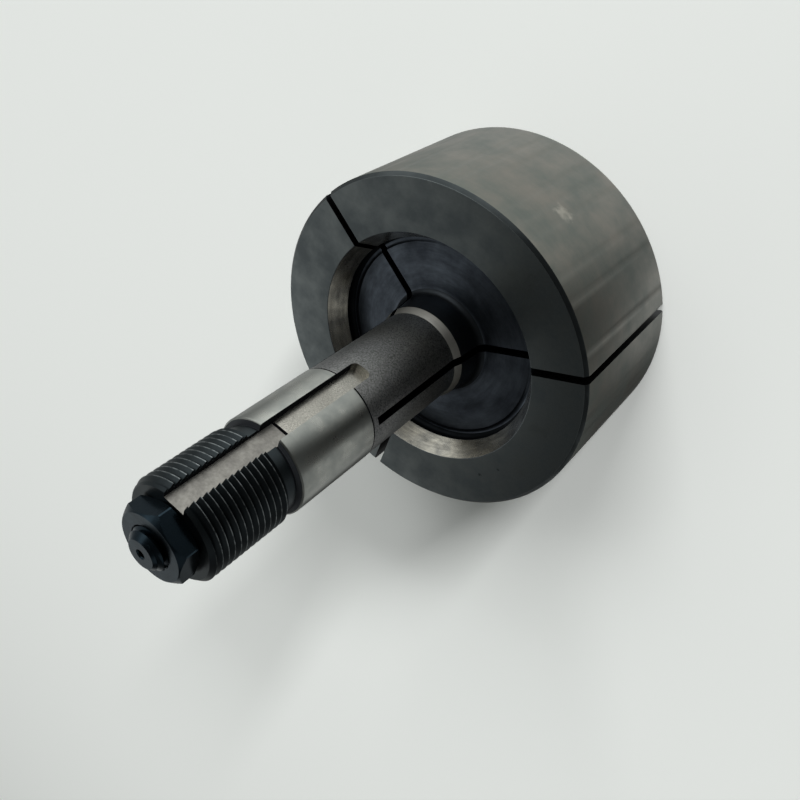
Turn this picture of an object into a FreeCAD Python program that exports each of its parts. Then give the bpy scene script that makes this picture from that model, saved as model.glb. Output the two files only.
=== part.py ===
"""Expanding lathe collet on a threaded draw shank, with its draw bolt and nut.

The collet is one turned piece.  A thick head grips from inside a work piece's
bore.  A hollow shank carries a ground guide, a keyway and a drawbar thread.
Three saw slots split the head, the neck and half of the shank into jaws.  A
draw bolt with a tapered head runs through the bore, and a thin hexagon nut
holds it at the tail.

Frame: millimetres, +Z along the axis from the head to the tail.  The origin is
the centre of the head's front face, and the keyway faces -Y.
"""

import FreeCAD, Part
import math
import os

import Sketcher

V = FreeCAD.Vector
ORIGIN = (-1, 1)
AXIS_OF = {"DistanceX": -2, "DistanceY": -1}
CORNER_COUNT = 6
JAW_COUNT = 3
TINY = 1e-9
PART_FOLDER = "parts"

# Driving sizes: name, value in millimetres or degrees, meaning.
SIZES = [
    ("head_radius", 48.5, "gripping rim of the head"),
    ("head_length", 46.7, "front face to back face"),
    ("back_bevel", 0.95, "45 degree bevel at the head's back edge"),
    ("front_bevel", 0.5, "45 degree bevel at the head's front edge"),
    ("mouth_radius", 33.4, "taper at the head's back face"),
    ("taper_half_angle", 30.0, "slope of the taper to the axis"),
    ("taper_depth", 5.45, "ground length of the taper, along the axis"),
    ("recess_depth", 7.8, "back face to the flat floor of the recess"),
    ("relief_floor_radius", 28.2, "inner edge of the round relief below the taper"),
    ("neck_radius", 13.8, "neck where it leaves the floor"),
    ("neck_fillet", 2.2, "fillet between neck and floor"),
    ("collar_radius", 13.25, "large end of the bright collar"),
    ("collar_rise", 0.65, "back face to the large end of the collar"),
    ("collar_length", 2.2, "length of the collar"),
    ("body_radius", 12.4, "matt shank"),
    ("body_length", 36.9, "back face to the ground guide"),
    ("guide_radius", 12.5, "ground guide"),
    ("guide_length", 24.5, "length of the guide"),
    ("guide_bevel", 0.3, "bevel at the guide's tail end"),
    ("undercut_radius", 10.5, "groove at the root of the guide's shoulder"),
    ("undercut_width", 0.8, "width of that groove"),
    ("relief_radius", 11.0, "thread relief"),
    ("relief_length", 4.2, "guide to the first full thread"),
    ("runout_length", 0.7, "slope from the relief to the thread"),
    ("thread_radius", 12.35, "outside of the drawbar thread"),
    ("thread_length", 21.6, "first full thread to the tail face"),
    ("tail_bevel", 1.05, "45 degree bevel at the tail face"),
    ("spring_bore_radius", 8.3, "bore inside the jaws and their springs"),
    ("spring_bore_depth", 76.0, "front face to the end of that bore"),
    ("tail_bore_radius", 5.05, "bore that guides the draw bolt"),
    ("seat_radius", 13.4, "pocket for the head of the draw bolt"),
    ("seat_depth", 6.0, "front face to the conical seat"),
    ("seat_half_angle", 30.0, "slope of the seat to the axis"),
    ("slot_width", 2.1, "saw slots between the jaws"),
    ("slot_length", 81.5, "front face to the end of the slots"),
    ("keyway_width", 5.5, "keyway across the flats"),
    ("keyway_floor", 10.0, "axis to the keyway's floor"),
    ("keyway_overrun", 6.9, "keyway past the guide, towards the head"),
    ("keyway_corner", 1.4, "corner radius at the keyway's end"),
    ("keyway_low_floor", 9.6, "axis to the deeper floor at the tail"),
    ("keyway_step", 4.4, "step between the floors, inside the guide's end"),
    ("bolt_radius", 5.0, "draw bolt"),
    ("bolt_recess", 3.5, "front face to the bolt's head"),
    ("bolt_end_rise", 2.3, "bolt's end above the nut"),
    ("bolt_end_bevel", 1.5, "bevel at the bolt's end"),
    ("bolt_neck_bevel", 1.0, "bevel under the bolt's head"),
    ("bolt_head_bevel", 0.6, "bevel at the front of the bolt's head"),
    ("bolt_cone_radius", 7.6, "small end of the bolt's cone"),
    ("seat_gap", 0.2, "clearance between the bolt's cone and its seat"),
    ("pocket_gap", 0.3, "clearance between the bolt's head and the pocket"),
    ("centre_mouth_radius", 1.25, "countersunk mouth of the centre hole"),
    ("centre_hole_radius", 0.95, "centre hole"),
    ("centre_hole_depth", 2.6, "depth of the centre hole"),
    ("socket_flats", 8.0, "hexagon socket in the bolt's head"),
    ("socket_depth", 5.0, "depth of the socket"),
    ("nut_flats", 16.8, "hexagon across its flats"),
    ("nut_height", 5.0, "thickness of the nut"),
    ("nut_bore_radius", 5.05, "bore of the nut"),
    ("nut_face_radius", 8.2, "round face left by the nut's chamfer"),
    ("nut_mouth_radius", 5.4, "countersunk mouth of the nut's bore"),
]

# Stations along the axis, from the front face.
BACK = "Sizes.head_length"
FLOOR = f"({BACK} - Sizes.recess_depth)"
GUIDE_START = f"({BACK} + Sizes.body_length)"
GUIDE_END = f"({GUIDE_START} + Sizes.guide_length)"
THREAD_START = f"({GUIDE_END} + Sizes.relief_length)"
TAIL = f"({THREAD_START} + Sizes.thread_length)"
NUT_FACE = f"({TAIL} + Sizes.nut_height)"
BOLT_END = f"({NUT_FACE} + Sizes.bolt_end_rise)"
TAPER_SLOPE = "tan(Sizes.taper_half_angle)"
SEAT_SLOPE = "tan(Sizes.seat_half_angle)"
TAPER_FOOT = f"(Sizes.mouth_radius - Sizes.taper_depth * {TAPER_SLOPE})"


def size_sheet(doc):
    """Spreadsheet of the driving sizes, one alias for each."""
    sheet = doc.addObject("Spreadsheet::Sheet", "Sizes")
    for row, (alias, value, meaning) in enumerate(SIZES, start=1):
        sheet.set(f"A{row}", meaning)
        sheet.set(f"B{row}", str(value))
        sheet.setAlias(f"B{row}", alias)
    doc.recompute()
    return sheet


def attached_sketch(body, name, role, offset=None):
    """Sketch on the body's own origin plane, moved along its normal by offset."""
    sketch = body.newObject("Sketcher::SketchObject", name)
    plane = next(item for item in body.Origin.OriginFeatures if item.Role == role)
    sketch.AttachmentSupport = [(plane, "")]
    sketch.MapMode = "FlatFace"
    if offset:
        sketch.setExpression("AttachmentOffset.Base.z", offset)
    return sketch


def tie(sketch, sheet, kind, geometry, point, expression, label):
    """Hold one coordinate of a sketch point to an expression of the sheet."""
    value = float(sheet.evalExpression(expression))
    if abs(value) < TINY:
        sketch.addConstraint(
            Sketcher.Constraint("PointOnObject", geometry, point, AXIS_OF[kind]))
        return
    ends = (*ORIGIN, geometry, point)
    if value < 0:
        ends = (geometry, point, *ORIGIN)
        expression = f"-({expression})"
    sketch.addConstraint(Sketcher.Constraint(kind, *ends, abs(value)))
    sketch.renameConstraint(sketch.ConstraintCount - 1, label)
    sketch.setExpression(f"Constraints.{label}", expression)


def closed_outline(sketch, sheet, corners, arcs=None):
    """Closed outline through named corners, each (name, x, y) as expressions.

    arcs maps a corner's name to the centre (x, y) of a round stretch from that
    corner to the next, and to whether it turns counter-clockwise.
    """
    arcs = arcs or {}
    points = {
        name: V(float(sheet.evalExpression(across)), float(sheet.evalExpression(along)), 0)
        for name, across, along in corners}
    names = [corner[0] for corner in corners]
    starts = []
    for name, following in zip(names, names[1:] + names[:1]):
        start, end = points[name], points[following]
        if name not in arcs:
            sketch.addGeometry(Part.LineSegment(start, end), False)
            starts.append((1, 2))
            continue
        across, along, turns_left = arcs[name]
        centre = V(float(sheet.evalExpression(across)), float(sheet.evalExpression(along)), 0)
        first, last = (start, end) if turns_left else (end, start)
        angles = [math.atan2(p.y - centre.y, p.x - centre.x) for p in (first, last)]
        circle = Part.Circle(centre, V(0, 0, 1), (start - centre).Length)
        sketch.addGeometry(Part.ArcOfCircle(circle, *angles), False)
        starts.append((1, 2) if turns_left else (2, 1))
    count = len(names)
    for index in range(count):
        following = (index + 1) % count
        sketch.addConstraint(Sketcher.Constraint(
            "Coincident", index, starts[index][1], following, starts[following][0]))
    for index, (name, across, along) in enumerate(corners):
        tie(sketch, sheet, "DistanceX", index, starts[index][0], across, f"{name}_x")
        tie(sketch, sheet, "DistanceY", index, starts[index][0], along, f"{name}_y")
    for name, (across, _, _) in arcs.items():
        tie(sketch, sheet, "DistanceX", names.index(name), 3, across, f"{name}_centre")


def turned_blank(body, sheet, name, corners, arcs=None):
    """Turned solid: a closed outline on the XZ plane, revolved about the axis."""
    sketch = attached_sketch(body, f"{name}_outline", "XZ_Plane")
    closed_outline(sketch, sheet, corners, arcs)
    solid = body.newObject("PartDesign::Revolution", name)
    solid.Profile = sketch
    solid.ReferenceAxis = (sketch, ["V_Axis"])
    solid.Angle = 360
    return solid


def turned_groove(body, sheet, name, corners):
    """Turned cut: a closed outline on the XZ plane, revolved about the axis."""
    sketch = attached_sketch(body, f"{name}_outline", "XZ_Plane")
    closed_outline(sketch, sheet, corners)
    groove = body.newObject("PartDesign::Groove", name)
    groove.Profile = sketch
    groove.ReferenceAxis = (sketch, ["V_Axis"])
    groove.Angle = 360
    return groove


def milled_pocket(body, sketch, name, length):
    """Pocket along the sketch's own normal, which the plain direction opposes."""
    pocket = body.newObject("PartDesign::Pocket", name)
    pocket.Profile = sketch
    pocket.Type = "Length"
    pocket.Reversed = True
    pocket.setExpression("Length", length)
    return pocket


def hexagon(sketch, sheet, flats, first_angle):
    """Closed hexagon about the origin, one corner at first_angle degrees."""
    reach = f"({flats} / 2 / cos(180 / {CORNER_COUNT}))"
    step = 360 / CORNER_COUNT
    corners = []
    for index in range(CORNER_COUNT):
        angle = first_angle + index * step
        corners.append((f"corner_{index}", f"{reach} * cos({angle})", f"{reach} * sin({angle})"))
    closed_outline(sketch, sheet, corners)


def collet_corners():
    """Half section of the collet: front face, bore, tail, shank, neck, recess, rim."""
    seat_end = ("Sizes.seat_depth + (Sizes.seat_radius - Sizes.spring_bore_radius)"
                f" / {SEAT_SLOPE}")
    collar_start = f"{BACK} + Sizes.collar_rise"
    return [
        ("pocket_mouth", "Sizes.seat_radius", "0"),
        ("seat_front", "Sizes.seat_radius", "Sizes.seat_depth"),
        ("seat_back", "Sizes.spring_bore_radius", seat_end),
        ("bore_end", "Sizes.spring_bore_radius", "Sizes.spring_bore_depth"),
        ("tail_bore_start", "Sizes.tail_bore_radius", "Sizes.spring_bore_depth"),
        ("tail_bore_end", "Sizes.tail_bore_radius", TAIL),
        ("tail_face", "Sizes.thread_radius - Sizes.tail_bevel", TAIL),
        ("thread_end", "Sizes.thread_radius", f"{TAIL} - Sizes.tail_bevel"),
        ("thread_start", "Sizes.thread_radius", THREAD_START),
        ("relief_tail", "Sizes.relief_radius", f"{THREAD_START} - Sizes.runout_length"),
        ("relief_head", "Sizes.relief_radius", f"{GUIDE_END} + Sizes.undercut_width"),
        ("undercut_tail", "Sizes.undercut_radius",
         f"{GUIDE_END} + Sizes.undercut_width - (Sizes.relief_radius - Sizes.undercut_radius)"),
        ("undercut_head", "Sizes.undercut_radius", GUIDE_END),
        ("shoulder", "Sizes.guide_radius - Sizes.guide_bevel", GUIDE_END),
        ("guide_tail", "Sizes.guide_radius", f"{GUIDE_END} - Sizes.guide_bevel"),
        ("guide_head", "Sizes.guide_radius", GUIDE_START),
        ("body_tail", "Sizes.body_radius", GUIDE_START),
        ("collar_small", "Sizes.body_radius", f"{collar_start} + Sizes.collar_length"),
        ("collar_large", "Sizes.collar_radius", collar_start),
        ("neck_foot", "Sizes.neck_radius", f"{FLOOR} + Sizes.neck_fillet"),
        ("floor_inner", "Sizes.neck_radius + Sizes.neck_fillet", FLOOR),
        ("floor_outer", "Sizes.relief_floor_radius", FLOOR),
        ("taper_foot", TAPER_FOOT, f"{BACK} - Sizes.taper_depth"),
        ("taper_mouth", "Sizes.mouth_radius", BACK),
        ("back_face", "Sizes.head_radius - Sizes.back_bevel", BACK),
        ("rim_back", "Sizes.head_radius", f"{BACK} - Sizes.back_bevel"),
        ("rim_front", "Sizes.head_radius", "Sizes.front_bevel"),
        ("front_face", "Sizes.head_radius - Sizes.front_bevel", "0"),
    ]


def collet_arcs():
    """Round stretches of the half section: neck fillet and relief below the taper."""
    return {
        "neck_foot": ("Sizes.neck_radius + Sizes.neck_fillet",
                      f"{FLOOR} + Sizes.neck_fillet", True),
        "floor_outer": (f"(Sizes.relief_floor_radius + {TAPER_FOOT}) / 2",
                        f"{BACK} - (Sizes.recess_depth + Sizes.taper_depth) / 2", True),
    }


def keyway_corners():
    """Plan of the keyway, round-cornered towards the head and open at the tail."""
    half = "Sizes.keyway_width / 2"
    end = f"({GUIDE_START} - Sizes.keyway_overrun)"
    past_tail = f"{TAIL} + Sizes.tail_bevel"
    return [
        ("right_tail", half, past_tail),
        ("left_tail", f"-{half}", past_tail),
        ("left_side", f"-{half}", f"{end} + Sizes.keyway_corner"),
        ("left_end", f"-{half} + Sizes.keyway_corner", end),
        ("right_end", f"{half} - Sizes.keyway_corner", end),
        ("right_side", half, f"{end} + Sizes.keyway_corner"),
    ]


def keyway_arcs():
    """The two rounded corners of the keyway's end."""
    half = "Sizes.keyway_width / 2"
    centre_height = f"{GUIDE_START} - Sizes.keyway_overrun + Sizes.keyway_corner"
    return {
        "left_side": (f"-{half} + Sizes.keyway_corner", centre_height, True),
        "right_end": (f"{half} - Sizes.keyway_corner", centre_height, True),
    }


def low_keyway_corners():
    """Plan of the keyway's deeper stretch, from the step to the open tail."""
    half = "Sizes.keyway_width / 2"
    step = f"{GUIDE_END} - Sizes.keyway_step"
    past_tail = f"{TAIL} + Sizes.tail_bevel"
    return [
        ("right_tail", half, past_tail),
        ("left_tail", f"-{half}", past_tail),
        ("left_step", f"-{half}", step),
        ("right_step", half, step),
    ]


def collet_body(doc, sheet):
    """The collet: turned blank, two-level keyway, and three slots round the axis."""
    body = doc.addObject("PartDesign::Body", "collet_body")
    turned_blank(body, sheet, "collet_blank", collet_corners(), collet_arcs())

    key_plan = attached_sketch(body, "keyway_plan", "XZ_Plane", "Sizes.keyway_floor")
    closed_outline(key_plan, sheet, keyway_corners(), keyway_arcs())
    milled_pocket(body, key_plan, "keyway", "Sizes.guide_radius")

    low_plan = attached_sketch(body, "low_keyway_plan", "XZ_Plane", "Sizes.keyway_low_floor")
    closed_outline(low_plan, sheet, low_keyway_corners())
    milled_pocket(body, low_plan, "low_keyway", "Sizes.guide_radius")

    slot_plan = attached_sketch(body, "slot_plan", "XY_Plane")
    half = "Sizes.slot_width / 2"
    reach = "Sizes.head_radius + Sizes.slot_width"
    closed_outline(slot_plan, sheet, [
        ("inner_left", f"-{half}", "0"),
        ("inner_right", half, "0"),
        ("outer_right", half, reach),
        ("outer_left", f"-{half}", reach),
    ])
    slot = milled_pocket(body, slot_plan, "jaw_slot", "Sizes.slot_length")
    slots = body.newObject("PartDesign::PolarPattern", "jaw_slots")
    slots.Originals = [slot]
    slots.Axis = (slot_plan, ["N_Axis"])
    slots.Angle = 360
    slots.Occurrences = JAW_COUNT
    body.Tip = slots
    return body


def draw_bolt(doc, sheet):
    """The draw bolt: tapered head with a hexagon socket, long shank, centre hole."""
    body = doc.addObject("PartDesign::Body", "draw_bolt")
    head = "(Sizes.seat_radius - Sizes.pocket_gap)"
    # The cone lies parallel to its seat, seat_gap away from it.
    cone_start = "Sizes.seat_radius - Sizes.seat_gap / cos(Sizes.seat_half_angle)"
    cone_front = f"Sizes.seat_depth + ({cone_start} - {head}) / {SEAT_SLOPE}"
    cone_back = f"(Sizes.seat_depth + ({cone_start} - Sizes.bolt_cone_radius) / {SEAT_SLOPE})"
    bevel_edge = "Sizes.bolt_radius + Sizes.bolt_neck_bevel"
    bevel_end = f"{cone_back} + Sizes.bolt_neck_bevel"
    turned_blank(body, sheet, "bolt_blank", [
        ("head_centre", "0", "Sizes.bolt_recess"),
        ("head_face", f"{head} - Sizes.bolt_head_bevel", "Sizes.bolt_recess"),
        ("head_rim", head, "Sizes.bolt_recess + Sizes.bolt_head_bevel"),
        ("cone_front", head, cone_front),
        ("cone_back", "Sizes.bolt_cone_radius", cone_back),
        ("bevel_outer", bevel_edge, cone_back),
        ("bevel_inner", "Sizes.bolt_radius", bevel_end),
        ("shank_end", "Sizes.bolt_radius", f"{BOLT_END} - Sizes.bolt_end_bevel"),
        ("end_face", "Sizes.bolt_radius - Sizes.bolt_end_bevel", BOLT_END),
        ("centre_mouth", "Sizes.centre_mouth_radius", BOLT_END),
        ("centre_neck", "Sizes.centre_hole_radius",
         f"{BOLT_END} - (Sizes.centre_mouth_radius - Sizes.centre_hole_radius)"),
        ("centre_side", "Sizes.centre_hole_radius",
         f"{BOLT_END} - Sizes.centre_hole_depth + Sizes.centre_hole_radius"),
        ("centre_point", "0", f"{BOLT_END} - Sizes.centre_hole_depth"),
    ])

    socket = attached_sketch(body, "socket_plan", "XY_Plane", "Sizes.bolt_recess")
    hexagon(socket, sheet, "Sizes.socket_flats", 0)
    milled_pocket(body, socket, "hexagon_socket", "Sizes.socket_depth")
    return body


def hexagon_nut(doc, sheet):
    """The thin nut on the tail face: hexagon, both ends chamfered, plain bore."""
    body = doc.addObject("PartDesign::Body", "draw_nut")
    plan = attached_sketch(body, "nut_plan", "XY_Plane", TAIL)
    hexagon(plan, sheet, "Sizes.nut_flats", -90)
    block = body.newObject("PartDesign::Pad", "nut_block")
    block.Profile = plan
    block.Type = "Length"
    block.setExpression("Length", "Sizes.nut_height")

    sink = "(Sizes.nut_mouth_radius - Sizes.nut_bore_radius)"
    turned_groove(body, sheet, "nut_bore", [
        ("axis_low", "0", TAIL),
        ("mouth_low", "Sizes.nut_mouth_radius", TAIL),
        ("bore_low", "Sizes.nut_bore_radius", f"{TAIL} + {sink}"),
        ("bore_high", "Sizes.nut_bore_radius", f"{NUT_FACE} - {sink}"),
        ("mouth_high", "Sizes.nut_mouth_radius", NUT_FACE),
        ("axis_high", "0", NUT_FACE),
    ])

    corner = f"(Sizes.nut_flats / 2 / cos(180 / {CORNER_COUNT}))"
    past_corner = f"{corner} + Sizes.nut_height"
    drop = f"({past_corner} - Sizes.nut_face_radius)"
    turned_groove(body, sheet, "outer_chamfer", [
        ("face", "Sizes.nut_face_radius", NUT_FACE),
        ("flank", past_corner, f"{NUT_FACE} - {drop}"),
        ("above", past_corner, NUT_FACE),
    ])
    # The seating side keeps a wider round face with a flatter chamfer.
    seat_drop = f"({corner} - Sizes.nut_flats / 2) / 2"
    turned_groove(body, sheet, "seat_chamfer", [
        ("face", "Sizes.nut_flats / 2", TAIL),
        ("below", corner, TAIL),
        ("flank", corner, f"{TAIL} + {seat_drop}"),
    ])
    return body


def check_and_write(doc, bodies):
    """Stop on any failed object or solid, then write one file for each piece."""
    for item in doc.Objects:
        if "Invalid" in item.State or "Error" in item.State:
            raise RuntimeError(f"{item.Name} did not compute: {item.State}")
    os.makedirs(PART_FOLDER, exist_ok=True)
    for body in bodies:
        shape = body.Shape
        if shape.isNull() or not shape.isValid() or len(shape.Solids) != 1:
            raise RuntimeError(f"{body.Label} is not one valid solid")
        shape.exportStep(os.path.join(PART_FOLDER, f"{body.Label}.step"))
        box = shape.BoundBox
        print(f"{body.Label}: {shape.Volume:.0f} mm3, z {box.ZMin:.2f} to {box.ZMax:.2f}")


def check_cuts(bodies):
    """Stop if a pocket, groove or pattern left the volume as it was."""
    for body in bodies:
        solids = [item for item in body.Group if hasattr(item, "AddSubType")
                  or item.TypeId == "PartDesign::PolarPattern"]
        for before, after in zip(solids, solids[1:]):
            if after.Shape.Volume > before.Shape.Volume - 1.0:
                raise RuntimeError(f"{after.Name} cut nothing")


def main():
    doc = FreeCAD.newDocument("lathe_collet")
    sheet = size_sheet(doc)
    bodies = [collet_body(doc, sheet), draw_bolt(doc, sheet), hexagon_nut(doc, sheet)]
    doc.recompute()
    check_cuts(bodies)
    check_and_write(doc, bodies)


main()
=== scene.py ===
"""Looks of an expanding lathe collet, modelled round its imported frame.

The collet is one turned, slotted and ground piece with a drawbar thread.  A
blackened draw bolt runs through it, and a thin blackened nut holds the bolt.
Pieces are modelled in millimetres about the part's axis and settled in metres.
"""

import logging
import math
from dataclasses import dataclass
from enum import Enum
from typing import Any, Callable

import bpy
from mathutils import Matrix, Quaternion, Vector

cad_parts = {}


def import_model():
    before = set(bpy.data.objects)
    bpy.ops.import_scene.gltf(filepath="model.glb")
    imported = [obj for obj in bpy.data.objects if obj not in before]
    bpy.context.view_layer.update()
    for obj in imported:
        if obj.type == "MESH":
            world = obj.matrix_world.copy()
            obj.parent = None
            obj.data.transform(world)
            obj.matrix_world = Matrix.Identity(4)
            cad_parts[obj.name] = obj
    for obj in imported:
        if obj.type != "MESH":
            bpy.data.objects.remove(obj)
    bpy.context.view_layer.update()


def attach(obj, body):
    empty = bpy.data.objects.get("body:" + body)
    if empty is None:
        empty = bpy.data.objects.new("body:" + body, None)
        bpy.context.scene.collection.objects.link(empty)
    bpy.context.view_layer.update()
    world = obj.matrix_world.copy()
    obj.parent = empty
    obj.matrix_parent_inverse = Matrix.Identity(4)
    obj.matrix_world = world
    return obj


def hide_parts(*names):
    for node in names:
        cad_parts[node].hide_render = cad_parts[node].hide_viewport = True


LOG = logging.getLogger("lathe_collet")
MM = 0.001
MERGE = 0.0005
SMOOTH_ANGLE = math.radians(13)
# How far a cutter reaches past the piece, and how near a face is to a plane
# that it lies in, both in millimetres.
PAST = 2.0
NEAR = 0.05

Point = tuple[float, float]
Test = Callable[[Vector, Vector], bool]


# ---------------------------------------------------------------- materials


def linear(hex_colour: str) -> tuple[float, float, float, float]:
    """Turn an sRGB hex colour into linear RGBA.

    Args:
        hex_colour: six hex digits, with or without a leading hash.

    Returns:
        Linear red, green, blue, and an alpha of one.
    """
    digits = hex_colour.lstrip("#")
    channels = [int(digits[at:at + 2], 16) / 255 for at in (0, 2, 4)]
    return (*(c / 12.92 if c <= 0.04045 else ((c + 0.055) / 1.055) ** 2.4
              for c in channels), 1.0)


def add_node(tree: bpy.types.NodeTree, kind: str, inputs: dict | None = None,
             **settings: Any) -> bpy.types.Node:
    """Add a node with its settings, values and links.

    Args:
        tree: the node tree it goes in.
        kind: the node's type name.
        inputs: a value or an output socket for each input's name or index.
        **settings: the node's own properties.

    Returns:
        The new node.
    """
    node = tree.nodes.new(kind)
    for name, value in settings.items():
        setattr(node, name, value)
    for key, value in (inputs or {}).items():
        if isinstance(value, bpy.types.NodeSocket):
            tree.links.new(value, node.inputs[key])
        else:
            node.inputs[key].default_value = value
    return node


class Lay(Enum):
    """The direction in which a tool has left its marks."""

    ROUND_FACE = "rings on a flat face"
    ROUND_SHAFT = "rings round a shaft"
    GRAIN = "no direction"


@dataclass(frozen=True)
class Mark:
    """A small rubbed or stained place: its centre and radius in millimetres."""

    centre: tuple[float, float, float]
    radius: float
    colour: str
    strength: float


@dataclass(frozen=True)
class Finish:
    """A metal surface: its colours, its gloss and the marks that its making left."""

    name: str
    colour: str
    tone: str
    roughness: float
    lay: Lay
    metallic: float = 1.0
    specular: float = 0.5
    line_pitch: float = 0.25
    line_depth: float = 0.004
    line_tone: float = 0.06
    line_breaks: float = 1.5
    grain_size: float = 0.3
    grain_depth: float = 0.0
    cloud_size: float = 14.0
    uneven: float = 0.06
    crest_radius: float = 0.0
    crest_wear_and_highlight_colour: str = "#c2c4c4"
    crest_wear: float = 1.4
    marks: tuple[Mark, ...] = ()

    def material(self) -> bpy.types.Material:
        """Build the node material once and return it after that."""
        found = bpy.data.materials.get(self.name)
        if found:
            return found
        material = bpy.data.materials.new(self.name)
        material.use_nodes = True
        tree = material.node_tree
        tree.nodes.clear()
        place = add_node(tree, "ShaderNodeTexCoord").outputs["Object"]
        clouds = add_node(tree, "ShaderNodeTexNoise", {
            "Vector": place, "Scale": 1 / (self.cloud_size * MM), "Detail": 4.0,
            "Roughness": 0.6}).outputs["Fac"]
        lines = self.tool_lines(tree, place)
        grain = add_node(tree, "ShaderNodeTexNoise", {
            "Vector": place, "Scale": 1 / (self.grain_size * MM), "Detail": 2.0,
        }).outputs["Fac"]
        colour = self.mixed_colour(tree, place, clouds, lines)
        gloss = add_node(tree, "ShaderNodeMapRange", {
            "Value": clouds, "From Min": 0.3, "From Max": 0.7,
            "To Min": self.roughness - self.uneven,
            "To Max": self.roughness + self.uneven}).outputs["Result"]
        height = add_node(tree, "ShaderNodeMath", {
            0: lines, 1: self.line_depth * MM}, operation="MULTIPLY").outputs[0]
        if self.grain_depth:
            height = add_node(tree, "ShaderNodeMath", {
                0: grain, 1: self.grain_depth * MM, 2: height},
                operation="MULTIPLY_ADD").outputs[0]
        bump = add_node(tree, "ShaderNodeBump", {
            "Height": height, "Strength": 1.0, "Distance": 1.0}).outputs["Normal"]
        shader = add_node(tree, "ShaderNodeBsdfPrincipled", {
            "Base Color": colour, "Metallic": self.metallic,
            "Specular IOR Level": self.specular, "Roughness": gloss, "Normal": bump})
        add_node(tree, "ShaderNodeOutputMaterial", {"Surface": shader.outputs["BSDF"]})
        return material

    def tool_lines(self, tree: bpy.types.NodeTree,
                   place: bpy.types.NodeSocket) -> bpy.types.NodeSocket:
        """Fine lines that the tool or the wheel left.

        Args:
            tree: the material's nodes.
            place: the Object coordinates.

        Returns:
            A socket of noise that runs along the lay.
        """
        scale = 1 / (self.line_pitch * MM)
        if self.lay is Lay.GRAIN:
            return add_node(tree, "ShaderNodeTexNoise", {
                "Vector": place, "Scale": scale, "Detail": 3.0}).outputs["Fac"]
        parts = add_node(tree, "ShaderNodeSeparateXYZ", {0: place}).outputs
        flat = add_node(tree, "ShaderNodeCombineXYZ", {
            "X": parts["X"], "Y": parts["Y"]}).outputs[0]
        along = parts["Z"]
        if self.lay is Lay.ROUND_FACE:
            along = add_node(tree, "ShaderNodeVectorMath", {0: flat},
                             operation="LENGTH").outputs["Value"]
        turn = add_node(tree, "ShaderNodeVectorMath", {0: flat},
                        operation="NORMALIZE").outputs["Vector"]
        turn = add_node(tree, "ShaderNodeVectorMath", {0: turn, 3: self.line_breaks},
                        operation="SCALE").outputs["Vector"]
        across = add_node(tree, "ShaderNodeMath", {0: along, 1: scale},
                          operation="MULTIPLY").outputs[0]
        where = add_node(tree, "ShaderNodeVectorMath", {
            0: turn, 1: add_node(tree, "ShaderNodeCombineXYZ", {"Z": across}).outputs[0]},
            operation="ADD").outputs["Vector"]
        return add_node(tree, "ShaderNodeTexNoise", {
            "Vector": where, "Scale": 1.0, "Detail": 3.0, "Roughness": 0.7}
            ).outputs["Fac"]

    def mixed_colour(self, tree: bpy.types.NodeTree, place: bpy.types.NodeSocket,
                     clouds: bpy.types.NodeSocket,
                     lines: bpy.types.NodeSocket) -> bpy.types.NodeSocket:
        """The colour, with its clouds, tool lines, crests painted bright and marks.

        Args:
            tree: the material's nodes.
            place: the Object coordinates.
            clouds: broad noise, for the uneven tone.
            lines: fine noise along the lay.

        Returns:
            The colour socket.
        """
        share = add_node(tree, "ShaderNodeMapRange", {
            "Value": clouds, "From Min": 0.35, "From Max": 0.65}).outputs["Result"]
        colour = add_node(tree, "ShaderNodeMix", {
            "Factor": share, "A": linear(self.colour), "B": linear(self.tone)},
            data_type="RGBA").outputs["Result"]
        shade = add_node(tree, "ShaderNodeMapRange", {
            "Value": lines, "From Min": 0.3, "From Max": 0.7,
            "To Min": 1 - self.line_tone, "To Max": 1 + self.line_tone}).outputs["Result"]
        colour = add_node(tree, "ShaderNodeVectorMath", {0: colour, 3: shade},
                          operation="SCALE").outputs["Vector"]
        # Crests painted bright: partly worn oxide, partly a painted highlight.
        if self.crest_radius:
            parts = add_node(tree, "ShaderNodeSeparateXYZ", {0: place}).outputs
            flat = add_node(tree, "ShaderNodeCombineXYZ", {
                "X": parts["X"], "Y": parts["Y"]}).outputs[0]
            radius = add_node(tree, "ShaderNodeVectorMath", {0: flat},
                              operation="LENGTH").outputs["Value"]
            crest = add_node(tree, "ShaderNodeMapRange", {
                "Value": radius, "From Min": (self.crest_radius - 0.12) * MM,
                "From Max": (self.crest_radius - 0.02) * MM}).outputs["Result"]
            worn = add_node(tree, "ShaderNodeTexNoise", {
                "Vector": place, "Scale": 1 / (self.crest_wear * MM), "Detail": 3.0})
            kept = add_node(tree, "ShaderNodeMapRange", {
                "Value": worn.outputs["Fac"], "From Min": 0.38, "From Max": 0.6,
                "To Min": 0.2}).outputs["Result"]
            crest = add_node(tree, "ShaderNodeMath", {0: crest, 1: kept},
                             operation="MULTIPLY").outputs[0]
            colour = add_node(tree, "ShaderNodeMix", {
                "Factor": crest, "A": colour, "B": linear(self.crest_wear_and_highlight_colour)},
                data_type="RGBA").outputs["Result"]
        for mark in self.marks:
            ragged = add_node(tree, "ShaderNodeTexNoise", {
                "Vector": place, "Scale": 1.6 / (mark.radius * MM), "Detail": 3.0})
            away = add_node(tree, "ShaderNodeVectorMath", {
                0: place, 1: Vector(mark.centre) * MM}, operation="DISTANCE")
            reach = add_node(tree, "ShaderNodeMath", {
                0: ragged.outputs["Fac"], 1: mark.radius * 2.4 * MM,
                2: away.outputs["Value"]}, operation="MULTIPLY_ADD").outputs[0]
            share = add_node(tree, "ShaderNodeMapRange", {
                "Value": reach, "From Min": mark.radius * 1.9 * MM,
                "From Max": mark.radius * 1.2 * MM, "To Max": mark.strength})
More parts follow.
